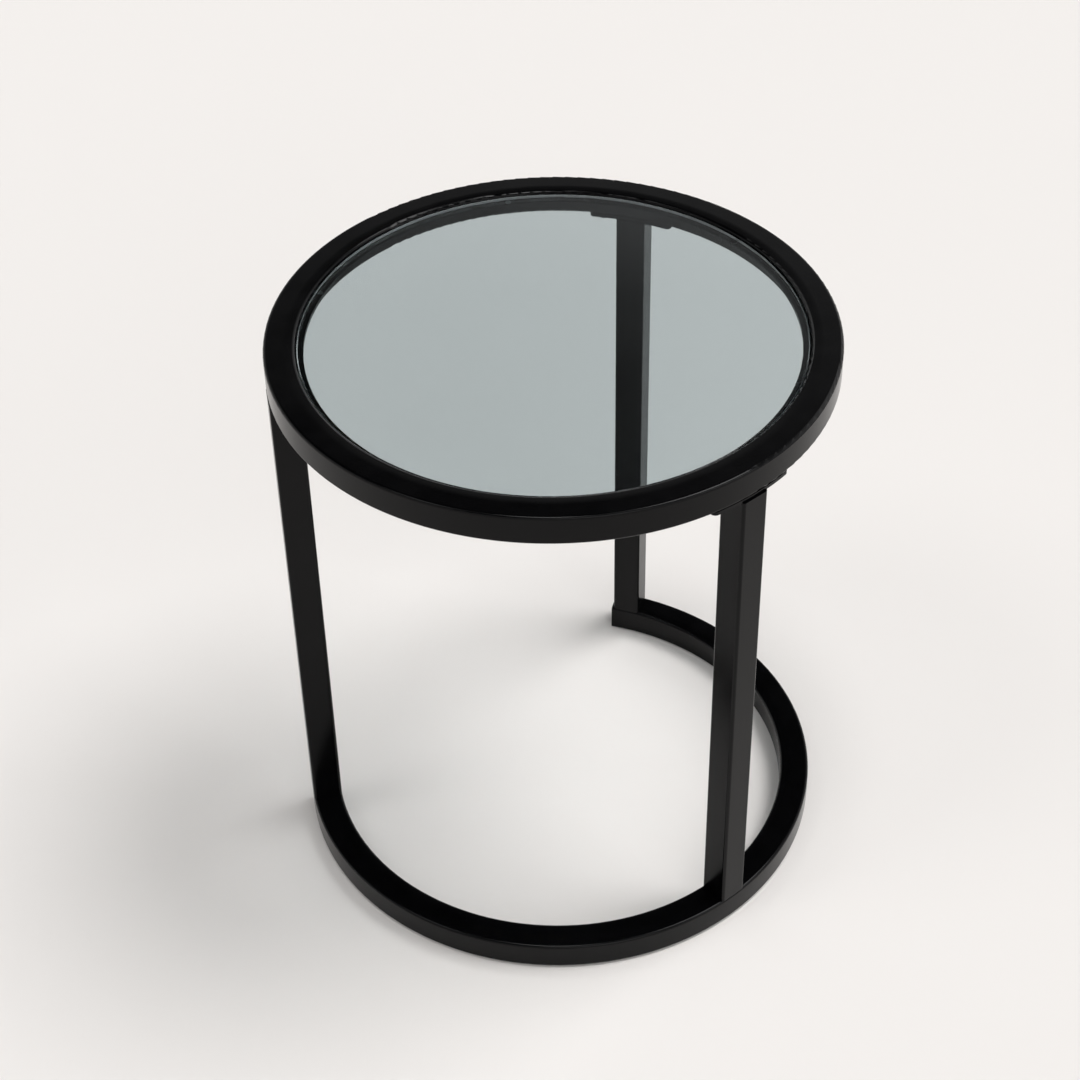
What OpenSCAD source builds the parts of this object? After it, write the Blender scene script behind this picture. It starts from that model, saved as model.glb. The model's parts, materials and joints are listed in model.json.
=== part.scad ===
// Round glass side table on a C-shaped floor hoop, all lengths in millimetres.
// Origin on the floor under the centre of the top, +Z up. The hoop is open towards +Y,
// and the middle one of the three legs stands at -Y.

/* [Table] */
// Diameter over the outside of the top hoop
table_diameter = 450; // [380:5:600]
// Height from the floor to the top face of the top hoop
table_height = 497; // [350:1:650]

/* [Tube] */
// Side of the square steel tube used for both hoops and the legs
tube_side = 25; // [22:0.5:30]
// Wall thickness of the tube
tube_wall = 1.5; // [1:0.1:2.5]
// Outside corner radius of the tube
tube_corner = 2.5; // [2:0.1:4]

/* [Glass] */
// Thickness of the glass plate
glass_thick = 8; // [5:0.5:10]
// Depth of the glass's top face below the top face of the hoop
glass_recess = 2; // [0:0.1:4]
// Gap all round between the glass and the hoop
glass_gap = 1; // [0.5:0.1:3]
// Chamfer along both polished edges of the glass
glass_chamfer = 0.8; // [0.4:0.1:2]
// Width of the ledge that carries the glass
ledge_width = 6; // [5.5:0.5:12]
// Thickness of the ledge strip
ledge_thick = 3; // [2:0.5:4]
// Radius of each clear bumper between the ledge and the glass
bumper_radius = 2.5; // [2:0.1:2.7]
// Height of each clear bumper
bumper_height = 1; // [0.5:0.1:2]
// Number of clear bumpers
bumper_count = 6; // [3:1:12]

/* [Leg plates] */
// Length of a plate along the middle line of the hoop
plate_length = 74; // [70:1:90]
// Thickness of a plate
plate_thick = 3; // [2.5:0.5:5]
// Corner radius of a plate
plate_corner = 4; // [2:0.5:6]
// How far both curved edges of a plate sit inside the width of the hoop
plate_inset = 1.5; // [0:0.5:2]
// Distance from a leg's middle to each screw, along the middle line of the hoop
screw_offset = 26.5; // [24:0.5:28]
// Throat of the weld between a leg and its plate or hoop
weld_size = 2.5; // [1:0.5:4]

/* [Fasteners] */
// Radius of the screw shank
screw_radius = 2.9; // [2.4:0.1:2.9]
// Length of the screw under its head
screw_length = 16; // [14:1:20]
// Radius of the screw head
head_radius = 5.25; // [5:0.25:6]
// Height of the screw head
head_height = 3.3; // [3:0.1:4]
// Width across the flats of the hex socket
socket_width = 4; // [3:0.5:5]
// Depth of the hex socket
socket_depth = 2; // [1.5:0.1:2.2]
// Thickness of the flat washer
washer_thick = 1.2; // [0.8:0.1:1.6]
// Thickness of the split spring washer
spring_thick = 1.5; // [1.2:0.1:2]
// Thickness of the threaded insert's flange, which spaces the plate from the hoop
flange_thick = 1; // [0.6:0.1:1.5]

/* [Feet] */
// Radius of each glide under the floor hoop
glide_radius = 8; // [6:0.5:9]
// Thickness of each glide
glide_thick = 1.5; // [1:0.5:3]
// How far each end of the floor hoop runs past its leg
end_overrun = 2.5; // [2:0.5:20]
// Thickness of the end caps welded into the floor hoop
cap_thick = 1.5; // [1:0.5:2]

/* [Hidden] */
$fn = 96;
leg_angles = [30, 150, 270];
RIGHT = leg_angles[0];
LEFT = leg_angles[1];
FRONT = leg_angles[2];

top_radius = table_diameter / 2;
inner_radius = top_radius - tube_side;
middle_radius = top_radius - tube_side / 2;
top_hoop_base = table_height - tube_side;
floor_hoop_top = glide_thick + tube_side;

plate_top = top_hoop_base - flange_thick;
plate_base = plate_top - plate_thick;
leg_length = plate_base - floor_hoop_top;
hole_radius = screw_radius + 0.6;

glass_radius = inner_radius - glass_gap;
glass_top_z = table_height - glass_recess;
glass_base_z = glass_top_z - glass_thick;
ledge_top = glass_base_z - bumper_height;
ledge_inner = inner_radius - ledge_width;

insert_bore = screw_radius + 0.1;
insert_radius = 4.5;
insert_flange_radius = 6;
insert_bulge_height = 3;
insert_height = 11;
insert_hole = insert_radius + 0.1;

washer_bore = screw_radius + 0.3;
washer_radius = 6;
spring_radius = 5;
spring_split = 1;
head_top = plate_base - washer_thick - spring_thick;

// Angles along the middle line: a leg's middle to a screw, to the corner centres of its plate
// and to the end of the floor hoop, and the angle that a cap takes
degrees_per_mm = 180 / (PI * middle_radius);
screw_angle = screw_offset * degrees_per_mm;
plate_corner_angle = (plate_length / 2 - plate_corner) * degrees_per_mm;
overrun_angle = asin((tube_side / 2 + end_overrun) / middle_radius);
cap_angle = cap_thick * degrees_per_mm;
hoop_start = LEFT - overrun_angle;
hoop_sweep = 360 - (LEFT - RIGHT) + 2 * overrun_angle;
glide_angles = [LEFT, (LEFT + FRONT) / 2, FRONT, (FRONT + RIGHT + 360) / 2, RIGHT + 360];

// ---- shared shapes ----

// Rectangle with round corners, centred on the origin
module round_rect(width, height, corner) {
  square([width - 2 * corner, height], center = true);
  square([width, height - 2 * corner], center = true);
  for (x = [-1, 1], y = [-1, 1])
    translate([x * (width / 2 - corner), y * (height / 2 - corner)])
      circle(corner);
}

// Section of the square tube, centred on the origin
module tube_section() {
  bore = tube_side - 2 * tube_wall;
  difference() {
    round_rect(tube_side, tube_side, tube_corner);
    round_rect(bore, bore, tube_corner - tube_wall);
  }
}

// Places children at a leg: +X points away from the table's axis, +Y along the hoop
module at_leg(angle) {
  rotate([0, 0, angle])
    translate([middle_radius, 0, 0])
      children();
}

// Places children at both screws of a leg
module at_screws(angle) {
  for (side = [-1, 1])
    at_leg(angle + side * screw_angle)
      children();
}

// Flat sector of a ring between two radii, to both sides of the +X axis
module ring_sector(inner, outer, half_angle) {
  rotate([0, 0, -half_angle])
    rotate_extrude(angle = 2 * half_angle, $fn = 180)
      translate([inner, 0])
        square([outer - inner, plate_thick]);
}

// Disc with a hole, standing on the XY plane
module washer(outer, bore, thick) {
  difference() {
    cylinder(r = outer, h = thick);
    translate([0, 0, -1])
      cylinder(r = bore, h = thick + 2);
  }
}

// Hollow fillet weld in the corner above +Y and below z = 0, running along X
module fillet(size) {
  run = tube_side - 2 * tube_corner;
  sunk = 0.5;
  rotate([90, 0, 90])
    linear_extrude(height = run, center = true)
      difference() {
        translate([-sunk, -size])
          square([size + sunk, size]);
        translate([size, -size])
          circle(size);
      }
}

// ---- top ----

module top_hoop() {
  color("#1c1c1e")
    difference() {
      translate([0, 0, top_hoop_base + tube_side / 2])
        rotate_extrude($fn = 180)
          translate([middle_radius, 0])
            tube_section();
      for (angle = leg_angles)
        at_screws(angle)
          translate([0, 0, top_hoop_base - 1])
            cylinder(r = insert_hole, h = tube_wall + 2);
    }
}

module glass_ledge() {
  color("#1c1c1e")
    translate([0, 0, ledge_top - ledge_thick])
      rotate_extrude($fn = 180)
        translate([ledge_inner, 0])
          square([ledge_width, ledge_thick]);
}

module glass_bumpers() {
  color("#e8eeee")
    for (i = [0 : bumper_count - 1])
      rotate([0, 0, i * 360 / bumper_count])
        translate([inner_radius - ledge_width / 2, 0, ledge_top])
          cylinder(r = bumper_radius, h = bumper_height);
}

module glass_top() {
  shoulder = glass_radius - glass_chamfer;
  color("#9fb0b4", 0.6)
    translate([0, 0, glass_base_z])
      rotate_extrude($fn = 180)
        polygon([[0, 0],
                 [shoulder, 0],
                 [glass_radius, glass_chamfer],
                 [glass_radius, glass_thick - glass_chamfer],
                 [shoulder, glass_thick],
                 [0, glass_thick]]);
}

// ---- legs and their plates ----

module leg(angle) {
  color("#242426")
    at_leg(angle) {
      translate([0, 0, floor_hoop_top])
        linear_extrude(height = leg_length)
          tube_section();
      for (side = [0, 180])
        rotate([0, 0, side])
          translate([0, tube_side / 2, plate_base])
            fillet(weld_size);
    }
}

// Plate that follows the hoop, with round corners and two screw holes
module leg_plate(angle) {
  inner = inner_radius + plate_inset;
  outer = top_radius - plate_inset;
  end_angle = plate_corner_angle + plate_corner * degrees_per_mm;
  color("#1c1c1e")
    difference() {
      translate([0, 0, plate_base])
        rotate([0, 0, angle]) {
          ring_sector(inner, outer, plate_corner_angle);
          ring_sector(inner + plate_corner, outer - plate_corner, end_angle);
          for (side = [-1, 1], radius = [inner + plate_corner, outer - plate_corner])
            rotate([0, 0, side * plate_corner_angle])
              translate([radius, 0, 0])
                cylinder(r = plate_corner, h = plate_thick);
        }
      at_screws(angle)
        translate([0, 0, plate_base - 1])
          cylinder(r = hole_radius, h = plate_thick + 2);
    }
}

// Threaded inserts squeezed into the underside of the top hoop
module inserts(angle) {
  color("#b9bcc0")
    at_screws(angle)
      difference() {
        union() {
          translate([0, 0, plate_top])
            cylinder(r = insert_flange_radius, h = flange_thick);
          translate([0, 0, plate_top])
            cylinder(r = insert_radius, h = flange_thick + insert_height);
          translate([0, 0, top_hoop_base + tube_wall])
            cylinder(r = insert_flange_radius, h = insert_bulge_height);
        }
        translate([0, 0, plate_top - 1])
          cylinder(r = insert_bore, h = insert_height + flange_thick + 2);
      }
}

module screw() {
  brim = 0.8;
  crown = 2.6;
  difference() {
    union() {
      rotate_extrude()
        polygon([[0, 0],
                 [head_radius, 0],
                 [head_radius, -brim],
                 [head_radius - 0.7, -head_height + 1.2],
                 [crown + 0.6, -head_height + 0.2],
                 [crown, -head_height],
                 [0, -head_height]]);
      cylinder(r = screw_radius, h = screw_length);
    }
    translate([0, 0, -head_height - 1])
      cylinder(d = socket_width / cos(30), h = socket_depth + 1, $fn = 6);
  }
}

module screws(angle) {
  color("#8f9296")
    at_screws(angle)
      translate([0, 0, head_top])
        screw();
}

module flat_washers(angle) {
  color("#a7aaae")
    at_screws(angle)
      translate([0, 0, plate_base - washer_thick])
        washer(washer_radius, washer_bore, washer_thick);
}

module spring_washers(angle) {
  color("#6d7074")
    at_screws(angle)
      translate([0, 0, head_top])
        difference() {
          washer(spring_radius, washer_bore, spring_thick);
          translate([0, -spring_split / 2, -1])
            cube([spring_radius + 1, spring_split, spring_thick + 2]);
        }
}

// ---- floor hoop ----

module floor_hoop() {
  color("#1c1c1e")
    translate([0, 0, glide_thick + tube_side / 2])
      rotate([0, 0, hoop_start + cap_angle])
        rotate_extrude(angle = hoop_sweep - 2 * cap_angle, $fn = 180)
          translate([middle_radius, 0])
            tube_section();
}

// Cap that closes one end of the floor hoop, from its starting angle
module end_cap(start) {
  color("#1c1c1e")
    translate([0, 0, glide_thick + tube_side / 2])
      rotate([0, 0, start])
        rotate_extrude(angle = cap_angle, $fn = 180)
          translate([middle_radius, 0])
            round_rect(tube_side, tube_side, tube_corner);
}

module glide(index) {
  color("#3a3a3c")
    rotate([0, 0, glide_angles[index]])
      translate([middle_radius, 0, 0])
        cylinder(r = glide_radius, h = glide_thick);
}

module leg_right() { leg(RIGHT); }
module leg_left() { leg(LEFT); }
module leg_front() { leg(FRONT); }
module plate_right() { leg_plate(RIGHT); }
module plate_left() { leg_plate(LEFT); }
module plate_front() { leg_plate(FRONT); }
module inserts_right() { inserts(RIGHT); }
module inserts_left() { inserts(LEFT); }
module inserts_front() { inserts(FRONT); }
module screws_right() { screws(RIGHT); }
module screws_left() { screws(LEFT); }
module screws_front() { screws(FRONT); }
module flat_washers_right() { flat_washers(RIGHT); }
module flat_washers_left() { flat_washers(LEFT); }
module flat_washers_front() { flat_washers(FRONT); }
module spring_washers_right() { spring_washers(RIGHT); }
module spring_washers_left() { spring_washers(LEFT); }
module spring_washers_front() { spring_washers(FRONT); }
module end_cap_left() { end_cap(hoop_start); }
module end_cap_right() { end_cap(hoop_start + hoop_sweep - cap_angle); }
module glide_1() { glide(0); }
module glide_2() { glide(1); }
module glide_3() { glide(2); }
module glide_4() { glide(3); }
module glide_5() { glide(4); }

top_hoop();
glass_ledge();
glass_bumpers();
glass_top();
leg_right();
leg_left();
leg_front();
plate_right();
plate_left();
plate_front();
inserts_right();
inserts_left();
inserts_front();
screws_right();
screws_left();
screws_front();
flat_washers_right();
flat_washers_left();
flat_washers_front();
spring_washers_right();
spring_washers_left();
spring_washers_front();
floor_hoop();
end_cap_right();
end_cap_left();
glide_1();
glide_2();
glide_3();
glide_4();
glide_5();
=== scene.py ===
"""Looks for the round glass side table: studio, camera, powder coat, smoked glass, hardware and glides."""
import json
import math

import bpy
from mathutils import Matrix, Vector

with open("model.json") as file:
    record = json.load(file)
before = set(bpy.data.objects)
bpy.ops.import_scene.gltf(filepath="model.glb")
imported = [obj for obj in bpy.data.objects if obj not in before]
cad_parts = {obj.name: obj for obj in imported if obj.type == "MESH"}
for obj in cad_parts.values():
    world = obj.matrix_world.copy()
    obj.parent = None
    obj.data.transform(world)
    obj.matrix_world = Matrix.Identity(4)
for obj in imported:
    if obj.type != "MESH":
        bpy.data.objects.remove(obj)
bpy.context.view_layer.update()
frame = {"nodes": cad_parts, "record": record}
nodes = frame["nodes"]

MM = 0.001

# ---- coat on the rolled hoops: where the inner edge of the top sinks, measured from the axis ----
HOOP_INNER = 200 * MM
SINK_START = HOOP_INNER - 4 * MM
SINK_END = HOOP_INNER + 10 * MM
SINK_DEPTH = 0.6 * MM

# ---- camera: where the photographer stood, from the table's axis ----
CAMERA_AZIMUTH = math.radians(229.4)
CAMERA_REACH = 1.4685
CAMERA_HEIGHT = 1.5531
CAMERA_PITCH = math.radians(40.868)
CAMERA_YAW = math.radians(-0.524)
CAMERA_ROLL = math.radians(-1.226)
CAMERA_LENS = 77.35

TOWARDS = Vector((math.cos(CAMERA_AZIMUTH), math.sin(CAMERA_AZIMUTH), 0))
RIGHT = Vector((-TOWARDS.y, TOWARDS.x, 0))


def from_camera(right, towards, up):
    """A place or direction told from the camera's side: right, towards the camera, and up."""
    return RIGHT * right + TOWARDS * towards + Vector((0, 0, up))


def make_camera():
    away = -TOWARDS * math.cos(CAMERA_YAW) + RIGHT * math.sin(CAMERA_YAW)
    side = RIGHT * math.cos(CAMERA_YAW) + TOWARDS * math.sin(CAMERA_YAW)
    look = away * math.cos(CAMERA_PITCH) - Vector((0, 0, math.sin(CAMERA_PITCH)))
    up = side.cross(look)
    turned_side = side * math.cos(CAMERA_ROLL) + up * math.sin(CAMERA_ROLL)
    turned_up = up * math.cos(CAMERA_ROLL) - side * math.sin(CAMERA_ROLL)
    data = bpy.data.cameras.new("camera")
    data.lens = CAMERA_LENS
    data.sensor_width = 36
    data.clip_end = 100
    camera = bpy.data.objects.new("camera", data)
    turn = Matrix((turned_side, turned_up, -look)).transposed().to_4x4()
    camera.matrix_world = Matrix.Translation(from_camera(0, CAMERA_REACH, CAMERA_HEIGHT)) @ turn
    bpy.context.scene.collection.objects.link(camera)
    bpy.context.scene.camera = camera


# ---- node helpers ----

class Nodes:
    """A small wrapper that adds and joins shader nodes."""

    def __init__(self, tree):
        self.tree = tree
        tree.nodes.clear()

    def add(self, kind, **values):
        node = self.tree.nodes.new(kind)
        for name, value in values.items():
            setattr(node, name, value)
        return node

    def join(self, output, socket):
        self.tree.links.new(output, socket)


def new_material(name):
    material = bpy.data.materials.new(name)
    material.use_nodes = True
    made = Nodes(material.node_tree)
    shader = made.add("ShaderNodeBsdfPrincipled")
    output = made.add("ShaderNodeOutputMaterial")
    made.join(shader.outputs["BSDF"], output.inputs["Surface"])
    return material, made, shader


def noise(made, scale, detail=3.0, roughness=0.5):
    place = made.add("ShaderNodeTexCoord")
    texture = made.add("ShaderNodeTexNoise")
    texture.inputs["Scale"].default_value = scale
    texture.inputs["Detail"].default_value = detail
    texture.inputs["Roughness"].default_value = roughness
    made.join(place.outputs["Object"], texture.inputs["Vector"])
    return texture.outputs["Fac"]


def spread(made, value, low, high, start=0.3, end=0.7):
    """Maps a value from start..end to low..high; the defaults suit a noise."""
    ramp = made.add("ShaderNodeMapRange")
    ramp.inputs["From Min"].default_value = start
    ramp.inputs["From Max"].default_value = end
    ramp.inputs["To Min"].default_value = low
    ramp.inputs["To Max"].default_value = high
    made.join(value, ramp.inputs["Value"])
    return ramp.outputs["Result"]


def shades(made, value, *stops):
    """Colours along a value, as (place, colour) stops."""
    ramp = made.add("ShaderNodeValToRGB")
    band = ramp.color_ramp
    while len(band.elements) < len(stops):
        band.elements.new(0.5)
    for element, (place, colour) in zip(band.elements, stops):
        element.position = place
        element.color = (*colour, 1)
    made.join(value, ramp.inputs["Fac"])
    return ramp.outputs["Color"]


def bump(made, shader, height, distance, strength=1.0):
    node = made.add("ShaderNodeBump")
    node.inputs["Distance"].default_value = distance
    node.inputs["Strength"].default_value = strength
    made.join(height, node.inputs["Height"])
    made.join(node.outputs["Normal"], shader.inputs["Normal"])
    return node


# ---- materials ----

def coat_parts(name):
    """Satin black powder coat: a fine orange peel, with a slightly uneven sheen."""
    material, made, shader = new_material(name)
    colour = shades(made, noise(made, 60), (0.3, (0.0006, 0.0006, 0.0008)), (0.75, (0.0013, 0.0013, 0.0016)))
    made.join(colour, shader.inputs["Base Color"])
    made.join(spread(made, noise(made, 35, 4), 0.16, 0.21), shader.inputs["Roughness"])
    shader.inputs["Specular IOR Level"].default_value = 0.145
    peel = bump(made, shader, noise(made, 900, 2), 0.015 * MM)
    return material, made, peel


def powder_coat(name):
    material, _, _ = coat_parts(name)
    return material


def rolled_coat(name):
    """The same coat on a rolled tube, whose inner edge sinks a little along the bend."""
    material, made, peel = coat_parts(name)
    place = made.add("ShaderNodeTexCoord")
    flat = made.add("ShaderNodeVectorMath", operation="MULTIPLY")
    flat.inputs[1].default_value = (1, 1, 0)
    reach = made.add("ShaderNodeVectorMath", operation="LENGTH")
    sink = made.add("ShaderNodeMapRange", interpolation_type="SMOOTHSTEP")
    sink.inputs["From Min"].default_value = SINK_START
    sink.inputs["From Max"].default_value = SINK_END
    slope = made.add("ShaderNodeBump")
    slope.inputs["Distance"].default_value = SINK_DEPTH
    made.join(place.outputs["Object"], flat.inputs[0])
    made.join(flat.outputs["Vector"], reach.inputs[0])
    made.join(reach.outputs["Value"], sink.inputs["Value"])
    made.join(sink.outputs["Result"], slope.inputs["Height"])
    made.join(slope.outputs["Normal"], peel.inputs["Normal"])
    return material


def smoked_glass(name):
    """Grey float glass: clear faces, a ground edge."""
    material, made, shader = new_material(name)
    shader.inputs["Base Color"].default_value = (0.53, 0.605, 0.625, 1)
    shader.inputs["IOR"].default_value = 1.5
    shader.inputs["Transmission Weight"].default_value = 1.0
    place = made.add("ShaderNodeTexCoord")
    facing = made.add("ShaderNodeSeparateXYZ")
    upright = made.add("ShaderNodeMath", operation="ABSOLUTE")
    made.join(place.outputs["Normal"], facing.inputs["Vector"])
    made.join(facing.outputs["Z"], upright.inputs[0])
    made.join(spread(made, upright.outputs["Value"], 0.5, 0.0, 0.2, 0.95), shader.inputs["Roughness"])
    return material


def zinc(name):
    material, made, shader = new_material(name)
    colour = shades(made, noise(made, 300), (0.3, (0.50, 0.51, 0.53)), (0.7, (0.66, 0.67, 0.68)))
    made.join(colour, shader.inputs["Base Color"])
    shader.inputs["Metallic"].default_value = 1.0
    made.join(spread(made, noise(made, 500, 5), 0.25, 0.42), shader.inputs["Roughness"])
    return material


def black_steel(name):
    material, made, shader = new_material(name)
    colour = shades(made, noise(made, 400), (0.3, (0.020, 0.020, 0.022)), (0.7, (0.040, 0.040, 0.043)))
    made.join(colour, shader.inputs["Base Color"])
    shader.inputs["Metallic"].default_value = 0.8
    made.join(spread(made, noise(made, 600, 5), 0.32, 0.5), shader.inputs["Roughness"])
    return material


def silicone(name):
    material, made, shader = new_material(name)
    shader.inputs["Base Color"].default_value = (0.04, 0.042, 0.042, 1)
    made.join(spread(made, noise(made, 400), 0.3, 0.45), shader.inputs["Roughness"])
    shader.inputs["IOR"].default_value = 1.41
    shader.inputs["Transmission Weight"].default_value = 0.3
    return material


def rubber(name):
    material, made, shader = new_material(name)
    colour = shades(made, noise(made, 500, 4), (0.3, (0.022, 0.022, 0.023)), (0.7, (0.038, 0.038, 0.039)))
    made.join(colour, shader.inputs["Base Color"])
    made.join(spread(made, noise(made, 300), 0.7, 0.85), shader.inputs["Roughness"])
    bump(made, shader, noise(made, 1500, 3), 0.05 * MM)
    return material


MAKERS = {
    "powder_coat": powder_coat,
    "smoked_glass": smoked_glass,
    "silicone": silicone,
    "zinc_steel": zinc,
    "black_steel": black_steel,
    "glide_rubber": rubber,
}


ROLLED_NODES = ("top_hoop", "floor_hoop")


def dress_nodes():
    """Gives every CAD node the material of its slot in the record; the hoops get the rolled coat."""
    made = {slot: maker(slot + "_look") for slot, maker in MAKERS.items()}
    rolled = rolled_coat("rolled_coat_look")
    for row in frame["record"]["subparts"]:
        node = nodes[row["node"]]
        look = rolled if row["node"] in ROLLED_NODES else made[row["material_slot"]]
        node.data.materials.clear()
        node.data.materials.append(look)


# ---- studio ----

FLOOR_SIZE = 60

# The Mix node has sockets of the same name for each kind of value, so its colour sockets go by number.
MIX_FACTOR = 0
MIX_COLOUR_A = 6
MIX_COLOUR_B = 7
MIX_COLOUR = 2


def make_floor():
    bpy.ops.mesh.primitive_plane_add(size=FLOOR_SIZE)
    floor = bpy.context.object
    floor.name = "studio_floor"
    material, made, shader = new_material("studio_floor")
    shader.inputs["Base Color"].default_value = (0.812, 0.783, 0.760, 1)
    shader.inputs["Roughness"].default_value = 0.9
    shader.inputs["Specular IOR Level"].default_value = 0.1
    floor.data.materials.append(material)


def add_sun(name, direction, strength, spread_angle):
    """A far soft light that shines from the given direction."""
    data = bpy.data.lights.new(name, "SUN")
    data.energy = strength
    data.angle = math.radians(spread_angle)
    lamp = bpy.data.objects.new(name, data)
    lamp.rotation_mode = "QUATERNION"
    lamp.rotation_quaternion = direction.to_track_quat("Z", "Y")
    bpy.context.scene.collection.objects.link(lamp)


def add_under_light(place, watts, cone):
    """A small soft lamp below the top that lifts the floor inside the base. The glass doesn't show it."""
    data = bpy.data.lights.new("under_light", "SPOT")
    data.energy = watts
    data.spot_size = math.radians(cone)
    data.spot_blend = 1.0
    data.shadow_soft_size = 50 * MM
    lamp = bpy.data.objects.new("under_light", data)
    lamp.location = place
    lamp.visible_glossy = False
    lamp.visible_transmission = False
    bpy.context.scene.collection.objects.link(lamp)


def greys(made, value, *stops):
    """The same as shades, for plain greys, as (place, brightness) stops."""
    return shades(made, value, *((place, (grey, grey, grey)) for place, grey in stops))


def make_world():
    """A studio whose walls are pale low down and dark overhead, and a little paler on the right."""
    world = bpy.data.worlds.new("studio")
    bpy.context.scene.world = world
    world.use_nodes = True
    made = Nodes(world.node_tree)
    place = made.add("ShaderNodeTexCoord")
    split = made.add("ShaderNodeSeparateXYZ")
    side = made.add("ShaderNodeVectorMath", operation="DOT_PRODUCT")
    side.inputs[1].default_value = RIGHT
    mixer = made.add("ShaderNodeMix", data_type="RGBA")
    back = made.add("ShaderNodeBackground")
    out = made.add("ShaderNodeOutputWorld")
    made.join(place.outputs["Generated"], split.inputs["Vector"])
    made.join(place.outputs["Generated"], side.inputs[0])
    left = greys(made, split.outputs["Z"],
                 (0.0, 0.70), (0.42, 0.80), (0.51, 0.40), (0.57, 0.04), (0.64, 0.003))
    right = greys(made, split.outputs["Z"],
                  (0.0, 0.85), (0.45, 1.0), (0.56, 0.55), (0.66, 0.07), (0.74, 0.003))
    turn = spread(made, side.outputs["Value"], 0.0, 1.0, -0.03, 0.3)
    made.join(turn, mixer.inputs[MIX_FACTOR])
    made.join(left, mixer.inputs[MIX_COLOUR_A])
    made.join(right, mixer.inputs[MIX_COLOUR_B])
    made.join(mixer.outputs[MIX_COLOUR], back.inputs["Color"])
    made.join(back.outputs["Background"], out.inputs["Surface"])


def make_studio():
    make_floor()
    make_world()
    add_sun("key", from_camera(0.51, -0.14, 1.0), 1.64, 28)
    add_sun("overhead", from_camera(-0.04, 0.09, 1.0), 0.58, 14)
    add_sun("front", from_camera(0.35, 1.2, 1.0), 0.52, 40)
    add_sun("low_right", from_camera(2.0, 0.8, 1.0), 0.40, 34)
    add_sun("fill", from_camera(-0.62, 0.25, 1.0), 0.24, 18)
    add_under_light(from_camera(-0.05, 0.0, 0.44), 1.6, 76)


def main():
    make_camera()
    make_studio()
    dress_nodes()
    bpy.context.scene.view_settings.view_transform = "Standard"


main()
